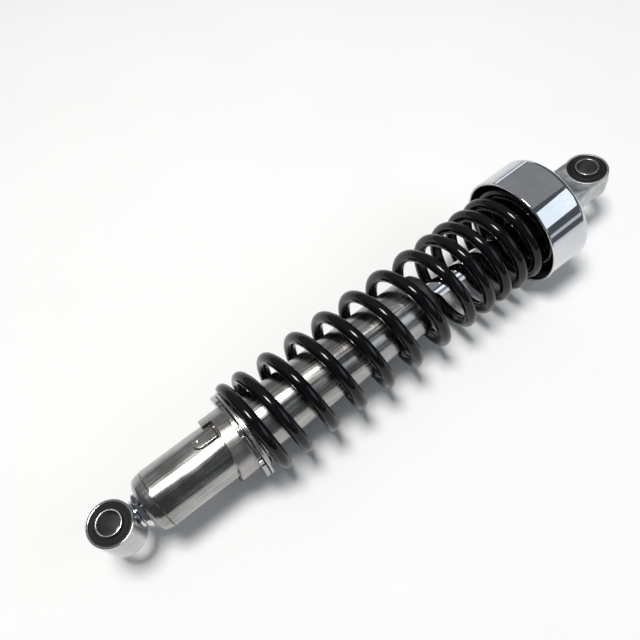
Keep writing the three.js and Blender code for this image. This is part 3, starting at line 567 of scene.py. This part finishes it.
eyes = {
    "lower": (LOWER_HALF, LOWER_BORE, 0.0, 0.0),
    "upper": (UPPER_HALF, UPPER_BORE, EYE_TO_EYE, UPPER_EYE_TWIST),
}
bush_body = {"lower": "damper_body", "upper": "rod_assembly"}
for end, (half, bore, centre, twist) in eyes.items():
    bush = eye_piece(f"{end}_bush", bush_outline(half - BUSH_SUNK, bore), centre, twist, RUBBER)
    dress(bush, bush_body[end], "rubber", f"{end}_rubber_bush")
    tube = ring_outline(half + SLEEVE_PROUD, SLEEVE_BORE, SLEEVE_OUTSIDE, 0.35)
    # The sleeve's bore wall takes the painted shade of the deep bore.
    just_past_bore = SLEEVE_BORE + 0.05
    sleeve = eye_piece(
        f"{end}_bush_sleeve", tube, centre, twist, ZINC_PLATE, BORE_PAINTED_SHADE, bore=just_past_bore
    )
    dress(sleeve, f"{end}_bush_sleeve", "zinc_plate", f"{end}_sleeve")
lower_ring_outline = ring_outline(LOWER_HALF, LOWER_BORE, LOWER_RING, 0.4)
lower_ring = eye_piece("lower_eye_ring", lower_ring_outline, 0, 0, PLATED_STEEL)
dress(lower_ring, "damper_body", "chrome", "lower_eye")


# %% [markdown]
# ### Stud, shoulder and jam nut
# The stud screws into the damper's base and a thin jam nut locks it. A hexagon is a radius that
# depends on the angle; where the chamfer's cone is smaller than the hexagon, the cone wins, and
# that draws the curved edges that every real nut has.

# %% Stud and nuts
JAM_START, JAM_END, JAM_FLATS, JAM_BORE = 13.5, 16.7, 17.4, 6.0
CONE_SHARE, CONE_SLOPE = 0.96, 1.73  # the chamfer's least radius over half the flats, and tan 60
AXIS_HOLE = 0.05  # mm: how near a solid bar's end faces come to the axis before their fans


def nut_points(start, end, flats, bore, sides=144):
    """radius = the lesser of flats / 2 / cos(angle from the flat's middle) and each face's cone."""
    angle = np.linspace(0, 2 * np.pi, sides, endpoint=False)
    hexagon = flats / 2 / np.cos((angle + np.pi / 6) % (np.pi / 3) - np.pi / 6)
    depth = np.array([0, 0.12, 0.25, 0.4, 0.6, 0.8, 1.0])
    cone = flats / 2 * CONE_SHARE + depth * CONE_SLOPE
    x = np.concatenate([[start], start + depth, (end - depth)[::-1], [end]])
    cap = np.concatenate([[bore], cone, cone[::-1], [bore]])
    radius = np.minimum(cap[:, None], hexagon[None, :])
    station = x[:, None] + 0 * radius
    return np.stack([station, radius * np.cos(angle), radius * np.sin(angle)], axis=-1)


def end_to_end(corners):
    """The rounded outline of a solid bar, from the middle of one end face to that of the other."""
    low, high = corners[0][0], corners[-1][0]
    return rounded([(low, AXIS_HOLE, 0)] + corners + [(high, AXIS_HOLE, 0)])


stud_outline = end_to_end(
    [(11.6, 8.0, 0), (12.9, 8.0, 0.5), (13.3, 6.6, 0.3), (13.6, 5.8, 0), (24, 5.8, 0.4)]
)
stud = grid_piece("lower_eye_stud", turned(stud_outline), wrap_rows=False, materials=[CHROME])
dress(stud, "damper_body", "chrome", "lower_eye")
jam_nut_points = nut_points(JAM_START, JAM_END, JAM_FLATS, JAM_BORE)
jam_nut = grid_piece("jam_nut", jam_nut_points, materials=[CHROME])
dress(jam_nut, "damper_body", "chrome", "lower_jam_nut")

# %% [markdown]
# ## The damper's body
# The base is a turned cap with a domed face, seamed to the drawn tube: the seam shows as one fine
# line. Two lugs are pressed out of the tube's wall, and the preload collar's steps stand on them.
# The tube with its lugs is a single height field wound round the axis: the radius grows smoothly by
# the lug's height inside a round-ended outline, and the grid is dense only there.

# %% Base cap and body tube
BODY_RADIUS, BODY_BORE = 17.0, 15.2
BODY_START, BODY_END = 24.6, 200.1
LUG_ANGLE, LUG_START, LUG_END, LUG_HALF, LUG_HEIGHT = 78, 54.2, 68.25, 4.1, 1.9
LUG_WALL = 0.7  # over how many mm the pressed wall rises
DIMPLE_DEPTH, DIMPLE_SPREAD, DIMPLE_SHIFT = 0.5, 0.8, 0.6  # the punch's mark on each lug
NEAR_LUG, FINE_ANGLE, WIDE_ANGLE = 17, 0.4, 2  # degrees: a dense stretch beside each lug
FINE_STATION = 0.16  # mm between rows along the lugs
ROWS_BELOW, ROWS_ABOVE = (30, 40, 50), np.linspace(75, 195, 9)  # stations of the plain tube's rows

base_outline = [
    (17, 6.1, 0.2), (17, 12.4, 1.8), (18.8, 15.3, 2.4), (21.2, 16.25, 4), (24.3, 16.8, 0.3),
    (24.3, 14.9, 0), (30.6, 14.9, 0.3), (30.6, 6.1, 0.3),
]  # fmt: skip
base = grid_piece("base_cap", turned(rounded(base_outline), 192), materials=[POLISHED_STEEL])
dress(base, "damper_body", "polished_steel", "damper_base_cap")


def lug_rise(station, arc):
    """At distance d inside the lug's outline the radius grows by LUG_HEIGHT * ease(d / LUG_WALL),
    less a dimple, DIMPLE_DEPTH * exp(-squared distance / DIMPLE_SPREAD)."""
    centre = LUG_START + LUG_HALF
    from_side = LUG_HALF - np.hypot(np.minimum(station - centre, 0), arc)
    inside = np.minimum(from_side, LUG_END - station)
    from_mark = (station - centre + DIMPLE_SHIFT) ** 2 + arc**2
    dimple = DIMPLE_DEPTH * np.exp(-(from_mark / DIMPLE_SPREAD))
    return LUG_HEIGHT * ease(inside / LUG_WALL) - dimple * (inside > 0)


def body_tube_points():
    """Outer wall with lugs, then back along the bore; angles are dense near the two lugs."""
    near = np.arange(-NEAR_LUG, NEAR_LUG, FINE_ANGLE)
    far = np.arange(NEAR_LUG, 180 - NEAR_LUG, WIDE_ANGLE)
    angle = np.concatenate([near, far, near + 180, far + 180]) + LUG_ANGLE
    dense = np.arange(LUG_START - 1, LUG_END + 1, FINE_STATION)
    beyond = LUG_START  # any station past the tube's edge, to close the outline that rounds it
    edge = rounded([
        (BODY_START, BODY_BORE, 0.2), (BODY_START, BODY_RADIUS, 0.35),
        (beyond, BODY_RADIUS, 0), (beyond, BODY_BORE, 0),
    ])  # fmt: skip
    lead = edge[edge[:, 0] < ROWS_BELOW[0]]
    tail = lead[::-1] * [-1, 1] + [BODY_START + BODY_END, 0]
    plain = [[x, BODY_RADIUS] for x in ROWS_BELOW]
    upper = [[x, BODY_RADIUS] for x in ROWS_ABOVE]
    lugged = np.stack([dense, np.full(len(dense), BODY_RADIUS)], -1)
    outline = np.vstack([lead, plain, lugged, upper, tail])
    radians = np.radians(angle)[None, :]
    station = outline[:, :1] + 0 * radians
    turn = (angle - LUG_ANGLE + 90) % 180 - 90
    outer = (outline[:, 1:2] > BODY_RADIUS - 0.01).astype(float)
    radius = outline[:, 1:2] + outer * lug_rise(station, np.radians(turn)[None, :] * BODY_RADIUS)
    return np.stack([station, radius * np.cos(radians), radius * np.sin(radians)], axis=-1)


body_tube = grid_piece("body_tube", body_tube_points(), materials=[POLISHED_STEEL], sharp=50)
dress(body_tube, "damper_body", "polished_steel", "damper_body_tube")

# %% [markdown]
# ### End cap and wiper
# A moulded cap closes the top of the tube, and a rubber wiper in it keeps dirt off the rod.

# %% End cap and wiper
cap_outline = [
    (198.1, 7, 0), (204.3, 7, 0), (204.3, 9.9, 0), (210, 9.9, 0.2), (210, 14, 0.8),
    (208.4, 15.8, 0.8), (207.2, 16.2, 0.6), (200.4, 16.2, 0.3), (200.4, 14.9, 0), (198.1, 14.9, 0),
]  # fmt: skip
end_cap = grid_piece("moulded_end_cap", turned(rounded(cap_outline)), materials=[BLACK_PLASTIC])
dress(end_cap, "damper_body", "black_plastic", "tube_end_cap")
wiper_outline = [
    (204.6, 6.15, 0), (210.9, 6.15, 0.2), (210.9, 7.2, 0.3), (209.9, 9.6, 0.4), (204.6, 9.6, 0),
]  # fmt: skip
wiper = grid_piece("rod_wiper", turned(rounded(wiper_outline)), materials=[RUBBER])
dress(wiper, "damper_body", "rubber", "dust_wiper")

# %% [markdown]
# ## The preload collar
# Turning the collar with a hook spanner makes its stepped edge climb the two lugs and squeezes the
# spring. The edge is a staircase bent into a ring, five steps twice round: level, ramp, level, and
# one steep wall back down. Every point of the sleeve's outline that belongs to the edge slides
# along the axis by the depth at its angle.

# %% Stepped collar
CAM_STEPS, STEP_ANGLE, STEP_RISE, FLAT_ANGLE, WALL_ANGLE, NOTCH = 5, 36.0, 1.45, 14.4, 3.6, 69.4
COLLAR_BORE, COLLAR_RADIUS, COLLAR_END = 17.35, 19.95, 78.7
EDGE_ROWS = 2  # mm above the notch: the rows of the outline that slide with the edge


def cam_depth(angle):
    """How far the edge hangs below its first notch: level, eased ramp, level, and so on; after the
    last step, a steep wall."""
    half = STEP_ANGLE / 2
    along = (angle + half) % 180 - half
    step = np.floor((along + half) / STEP_ANGLE)
    within = along + half - step * STEP_ANGLE
    level = (STEP_ANGLE + FLAT_ANGLE) / 2
    slope = STEP_ANGLE - FLAT_ANGLE
    ramp = ease((within - level) / slope) - ease((slope / 2 - within) / slope)
    lift = np.clip(step + ramp, 0, CAM_STEPS - 1)
    wall_start = STEP_ANGLE * (CAM_STEPS - 1) + half
    fall = 1 - ease((along - wall_start) / WALL_ANGLE)
    return STEP_RISE * np.where(along > wall_start, (CAM_STEPS - 1) * fall, lift)


def collar_points():
    """The sleeve's outline at each angle, its lower edge moved down by the cam's depth there."""
    outline = rounded([
        (NOTCH, COLLAR_BORE, 0.3), (NOTCH, COLLAR_RADIUS, 0.5),
        (COLLAR_END, COLLAR_RADIUS, 0.2), (COLLAR_END, COLLAR_BORE, 0.2),
    ])  # fmt: skip
    angle = np.arange(0, 360, 0.5)
    moves = (outline[:, :1] < NOTCH + EDGE_ROWS).astype(float)
    station = outline[:, :1] - moves * cam_depth(angle - LUG_ANGLE)[None, :]
    radians = np.radians(angle)[None, :]
    radius = outline[:, 1:2] + 0 * radians
    return np.stack([station, radius * np.cos(radians), radius * np.sin(radians)], axis=-1)


collar = grid_piece("stepped_collar", collar_points(), materials=[SATIN_STEEL])
dress(collar, "preload_collar", "polished_steel", "cam_collar")

# %% [markdown]
# ### Spanner ring
# Eight slots take the hook of the spanner. A small block stands in each, between two narrow cuts,
# so the rim reads as long lands with bright blocks between dark gaps. The rim's radius is a
# function of the angle alone.

# %% Spanner ring
RIM_RADIUS, RIM_START, SLOTS, FIRST_SLOT = 26.3, 76.2, 8, 64.0
BLOCK_ANGLE, CUT_ANGLE, CUT_DEPTH = 7.0, 2.6, 2.4
CUT_EDGE = 0.7  # degrees over which a cut's side falls
RING_BORE = COLLAR_RADIUS + 0.05


def rim_cut(angle):
    """1 inside a cut, 0 on a land or a block, eased over CUT_EDGE."""
    turn = np.abs((angle - FIRST_SLOT + 180 / SLOTS) % (360 / SLOTS) - 180 / SLOTS)
    start, end = BLOCK_ANGLE / 2, BLOCK_ANGLE / 2 + CUT_ANGLE
    return ease((turn - start) / CUT_EDGE + 0.5) * (1 - ease((turn - end) / CUT_EDGE + 0.5))


def spanner_ring_points():
    """The ring's outline; its rim drops by CUT_DEPTH inside the cuts."""
    outline = rounded([
        (RIM_START, RING_BORE, 0), (RIM_START, RIM_RADIUS, 0.45),
        (COLLAR_END, RIM_RADIUS, 0.45), (COLLAR_END, RING_BORE, 0),
    ])  # fmt: skip
    angle = np.arange(0, 360, 0.25)
    rim = (outline[:, 1:2] > RIM_RADIUS - 1).astype(float)
    radius = outline[:, 1:2] - rim * CUT_DEPTH * rim_cut(angle)[None, :]
    radians = np.radians(angle)[None, :]
    station = outline[:, :1] + 0 * radius
    return np.stack([station, radius * np.cos(radians), radius * np.sin(radians)], axis=-1)


spanner_ring = grid_piece("spanner_rim", spanner_ring_points(), materials=[RIM_STEEL])
dress(spanner_ring, "preload_collar", "polished_steel", "spanner_ring")

# %% [markdown]
# ## The spring and its seats
# Spring wire is wound at a pitch that changes: the widely spaced coils are soft and close last,
# which makes the ride progressive. Both ends are ground flat. The wire is a circle carried along a
# helix whose station is the running sum of the wire's own thickness and the gap at each point.

# %% Seats
lower_seat_outline = [
    (79.3, 17.4, 0.2), (83, 17.4, 0.2), (83, 20.9, 0.5), (82, 21.9, 0.5), (80.8, 21.9, 0.3),
    (80.8, 26.5, 0.4), (79.3, 26.5, 0.4),
]  # fmt: skip
seats = {
    "lower_seat": (
        lower_seat_outline,
        ZINC_PLATE, "spring_perch", "zinc_plate", "lower_spring_seat",
    ),
    "upper_seat": (
        [(301.5, 19, 0.2), (303, 19, 0.2), (303, 28, 0.3), (301.5, 28, 0.3)],
        ZINC_PLATE, "upper_perch", "zinc_plate", "upper_spring_seat",
    ),
    "isolator": (
        [(303.3, 18, 0.3), (305.1, 18, 0.3), (305.1, 29, 0.5), (303.3, 29, 0.5)],
        RUBBER, "upper_perch", "rubber", "upper_isolator",
    ),
}  # fmt: skip
for name, (outline, material, body, slot, cad_node) in seats.items():
    made = grid_piece(name, turned(rounded(outline)), materials=[material])
    dress(made, body, slot, cad_node)

# %% [markdown]
# ### The wire
# The gaps between the coils are given at a few shares of the spring's turns and eased between them.
# Their running sum, scaled to the room that the wire leaves free, says how far apart the coils lie.
# A circle of points across the helix then moves along it, and both ends are cut flat at the seats.

# %% Coil spring
WIRE, COIL_RADIUS, TURNS, START_ANGLE = 7.0, 26.0, 13.9, -20.0
SPRING_START, SPRING_END, GROUND = 81.1, 301.2, 1.9
GAP_SHARES = np.array([0, 0.13, 0.22, 0.47, 0.62, 0.9, 1])
GAP_WIDTHS = np.array([0.06, 0.8, 0.9, 1, 0.42, 0.38, 0.06])
SPLIT_TURN = 2.5  # the turn at which the wire is split into two pieces
STEPS_A_TURN, WIRE_SIDES = 90, 32


def coil_gap(share):
    """The relative gap at a share of the turns, eased between the listed points."""
    low = np.clip(np.searchsorted(GAP_SHARES, share, side="right") - 1, 0, len(GAP_SHARES) - 2)
    t = (share - GAP_SHARES[low]) / (GAP_SHARES[low + 1] - GAP_SHARES[low])
    return GAP_WIDTHS[low] + (GAP_WIDTHS[low + 1] - GAP_WIDTHS[low]) * ease(t)


coil_steps = round(TURNS * STEPS_A_TURN)
coil_share = np.linspace(0, 1, coil_steps + 1)
gap_sum = np.concatenate([[0], np.cumsum(coil_gap((coil_share[1:] + coil_share[:-1]) / 2))])
gap_sum /= gap_sum[-1]
first_station = SPRING_START + GROUND
open_room = SPRING_END - GROUND - first_station - TURNS * WIRE
coil_station = first_station + TURNS * WIRE * coil_share + open_room * gap_sum
print("open room between all coils, mm:", round(open_room, 1))


def wire_points(first, last):
    """Circles across the helix, centre + radius * (outward cos a + binormal sin a), cut by both
    seats' planes."""
    share = coil_share[first : last + 1]
    angle = np.radians(START_ANGLE + 360 * TURNS * share)
    station = coil_station[first : last + 1]
    rise = np.gradient(coil_station, np.radians(360 * TURNS) * coil_share)[first : last + 1]
    outward = np.stack([0 * angle, np.cos(angle), np.sin(angle)], -1)
    tangent = np.stack([rise, -COIL_RADIUS * np.sin(angle), COIL_RADIUS * np.cos(angle)], -1)
    tangent /= np.linalg.norm(tangent, axis=-1, keepdims=True)
    binormal = np.cross(tangent, outward)
    centre = outward * COIL_RADIUS + np.stack([station, 0 * station, 0 * station], -1)
    around = np.linspace(0, 2 * np.pi, WIRE_SIDES, endpoint=False)[None, :, None]
    ring = np.cos(around) * outward[:, None, :] + np.sin(around) * binormal[:, None, :]
    points = centre[:, None, :] + WIRE / 2 * ring
    points[..., 0] = np.clip(points[..., 0], SPRING_START, SPRING_END)
    return points


# %% [markdown]
# ### The spring in two pieces
# The lower seat lifts when the collar turns, and the upper seat comes down with the rod. The wire
# here is two closed pieces, split at one turn and fixed where they are built: neither follows a
# seat, and the CAD model's spring is hidden.


# %% Two halves of the wire
def spring_half(name, first, last):
    """The wire from one step to another as one closed piece, fixed where it is built; the CAD spring
    is hidden."""
    wire = wire_points(first, last)
    half = grid_piece(name, wire, wrap_rows=False, materials=[GLOSS_BLACK], sharp=40)
    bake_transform(half)
    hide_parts("coil_spring")


split_step = round(SPLIT_TURN * STEPS_A_TURN)
spring_half("spring_lower_coils", 0, split_step)
spring_half("spring_upper_coils", split_step, coil_steps)

# %% [markdown]
# ## Rod, bump stop and cover
# The rod is ground and hard-chromed. Near full stroke a rubber bump stop meets the damper's end
# cap. The cover is a cup drawn from sheet and chromed: its closed corner is a quarter round, and
# its rim is a thin rounded edge.

# %% Rod, stop, nuts and cover
COVER_RADIUS, COVER_BORE = 34.88, 6.35  # the radius is just inside the CAD model's faceted cup
LOCK_START, LOCK_END, LOCK_FLATS, LOCK_BORE = 300.1, 305.1, 19, 6.3
rod_outline = end_to_end([(155.9, 4, 0.2), (176.5, 4, 0), (176.5, 6, 0.3), (320.3, 6, 0.6)])
rod = grid_piece("chromed_rod", turned(rod_outline, 96), wrap_rows=False, materials=[CHROME])
dress(rod, "rod_assembly", "chrome", "piston_rod")
stop_outline = [
    (281.2, 6.3, 0.3), (281.2, 8.4, 0.7), (282.7, 9.6, 0.9), (287.6, 11.2, 1.6), (289.7, 10.2, 1.2),
    (291.8, 12.2, 1.6), (298.2, 12.5, 0.5), (298.2, 6.3, 0.3),
]  # fmt: skip
cover_outline = [
    (277.5, 33.4, 0.5), (277.5, COVER_RADIUS, 0.9), (307, COVER_RADIUS, 4), (307, COVER_BORE, 0.3),
    (305.4, COVER_BORE, 0.3), (305.4, 33.4, 2.4),
]  # fmt: skip
washer_outline = [(298.5, 6.3, 0.2), (299.8, 6.3, 0.2), (299.8, 13, 0.3), (298.5, 13, 0.3)]
bump_stop = grid_piece("rubber_bump_stop", turned(rounded(stop_outline)), materials=[RUBBER])
dress(bump_stop, "rod_assembly", "rubber", "bump_stop")
stop_washer = grid_piece("stop_washer", turned(rounded(washer_outline)), materials=[ZINC_PLATE])
dress(stop_washer, "rod_assembly", "zinc_plate", "bump_stop_washer")
cover_line = rounded(cover_outline)
# The cover's inside faces take painted shade, a dull black, for the dark inside of the cup.
on_bore = cover_line[:, 1] < COVER_BORE + 0.65
outer_end_of_bore = np.argmax(cover_line[:, 0] * on_bore)
cover_shade_faces = (np.arange(len(cover_line)) > outer_end_of_bore).astype(np.int32)
cover = grid_piece(
    "chromed_cover", turned(cover_line, 192), materials=[CHROME, COVER_PAINTED_SHADE], face_slots=cover_shade_faces
)
dress(cover, "rod_assembly", "chrome", "top_cover")
lock_nut_points = nut_points(LOCK_START, LOCK_END, LOCK_FLATS, LOCK_BORE)
lock_nut = grid_piece("lock_nut", lock_nut_points, materials=[ZINC_PLATE])
dress(lock_nut, "rod_assembly", "zinc_plate", "rod_lock_nut")

# %% [markdown]
# ## The upper eye
# One casting: a flat-faced ring for the bush, and a neck that grows into a round foot on the cover.
# Its side walls lean a little, as the mould needs, and every edge is soft. The ring is turned. The
# neck is a stack of rounded rectangles that swell from the ring to the foot until they are round,
# and its last section lies just inside the ring's wall.

# %% Upper eye
NECK_FOOT = 307.3 - EYE_TO_EYE  # station of the foot, from the upper eye's centre
FOOT_WIDTH, FOOT_HEIGHT = 16.0, 15.0  # half sizes; the foot's corners are as round as it is high
NECK_WIDTH, NECK_HEIGHT, NECK_CORNER = 12.7, 6.88, 0.9  # half sizes at the ring
INSIDE_RING = 12.9  # radius inside the ring's wall where the neck begins
FOOT_SPAN, FOOT_SWEEP = 1.1, 1.35  # a larger span ends the swell sooner; a larger sweep hollows it
CLOSING_SHARES = (0.75, 0.4, 0.05)  # the last sections shrink to these shares, inside the ring


def upper_eye_frame(points):
    """Points about the upper eye's centre, turned by its twist and moved to that centre."""
    c, s = math.cos(math.radians(UPPER_EYE_TWIST)), math.sin(math.radians(UPPER_EYE_TWIST))
    x, y, z = np.moveaxis(points, -1, 0)
    return np.stack([x + EYE_TO_EYE, c * y - s * z, s * y + c * z], axis=-1)


def neck_points(sections=48, arc=12, flat=24):
    """Rounded rectangles: each half size, and the corner's radius, is its least value + (its
    greatest - its least) * ease(1 - FOOT_SPAN t) ** FOOT_SWEEP, with t from 0 at the foot to 1."""
    t = np.linspace(0, 1, sections)[:, None]
    grow = ease(1 - t * FOOT_SPAN) ** FOOT_SWEEP
    width = NECK_WIDTH + (FOOT_WIDTH - NECK_WIDTH) * grow
    height = NECK_HEIGHT + (FOOT_HEIGHT - NECK_HEIGHT) * grow
    corner = NECK_CORNER + (FOOT_HEIGHT - NECK_CORNER) * grow
    # Round one corner, along a flat to the next, four times: the turn waits while the side slides.
    quarter, wait = np.linspace(0, np.pi / 2, arc), np.linspace(0, 1, flat + 2)[1:-1, None]
    signs = np.array([[1, 1], [-1, 1], [-1, -1], [1, -1]], float)
    turns, sides = [], []
    for k, (corner_sign, next_sign) in enumerate(zip(signs, np.roll(signs, -1, axis=0))):
        turns += [quarter + k * np.pi / 2, np.full(flat, (k + 1) * np.pi / 2)]
        sides += [np.tile(corner_sign, (arc, 1)), corner_sign + wait * (next_sign - corner_sign)]
    turn, side = np.concatenate(turns), np.vstack(sides)
    y = side[None, :, 0] * (width - corner) + corner * np.cos(turn)[None, :]
    z = side[None, :, 1] * (height - corner) + corner * np.sin(turn)[None, :]
    on_ring = -np.sqrt(INSIDE_RING**2 - y[-1:] ** 2)
    x = NECK_FOOT + (on_ring - NECK_FOOT) * t
    inward = np.array(CLOSING_SHARES)[:, None]
    closing_y, closing_z = y[-1:] * inward, z[-1:] * inward
    closing = np.stack([-np.sqrt(INSIDE_RING**2 - closing_y**2), closing_y, closing_z], -1)
    return np.concatenate([np.stack([x, y, z], -1), closing])


neck_grid = upper_eye_frame(neck_points())
neck = grid_piece("upper_eye_neck", neck_grid, wrap_rows=False, materials=[CAST_ALLOY], sharp=60)
dress(neck, "rod_assembly", "cast_alloy", "upper_eye")
boss_outline = rounded([
    (-UPPER_HALF, UPPER_BORE, 0.3), (-UPPER_HALF, UPPER_RING - 0.5, 0.6), (0, UPPER_RING, 3),
    (UPPER_HALF, UPPER_RING - 0.5, 0.6), (UPPER_HALF, UPPER_BORE, 0.3),
])  # fmt: skip
boss = eye_piece("upper_eye_ring", boss_outline, EYE_TO_EYE, UPPER_EYE_TWIST, CAST_ALLOY)
dress(boss, "rod_assembly", "cast_alloy", "upper_eye")

# %% [markdown]
# ## Inner parts
# The piston, the valves and the rod guide keep the shapes of the CAD model, which are already
# right; they get the finish of their own metal or rubber, so a cut-away view is as true as the
# outside.

# %% Finishes of the inner parts
inner_finishes = {
    PLAIN_STEEL: ("foot_valve_body", "foot_valve_pin", "pressure_cylinder", "rod_guide",
                  "piston_nut", "piston", "backing_washer"),
    ZINC_PLATE: ("foot_valve_disc", "seal_washer", "rebound_shims", "compression_shims"),
    BEARING_BRONZE: ("guide_bush", "piston_band"),
    RUBBER: ("oil_seal", "topout_bumper"),
}  # fmt: skip
for material, names in inner_finishes.items():
    for name in names:
        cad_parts[name].data.materials.clear()
        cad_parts[name].data.materials.append(material)
print("inner parts:", sum(len(names) for names in inner_finishes.values()))
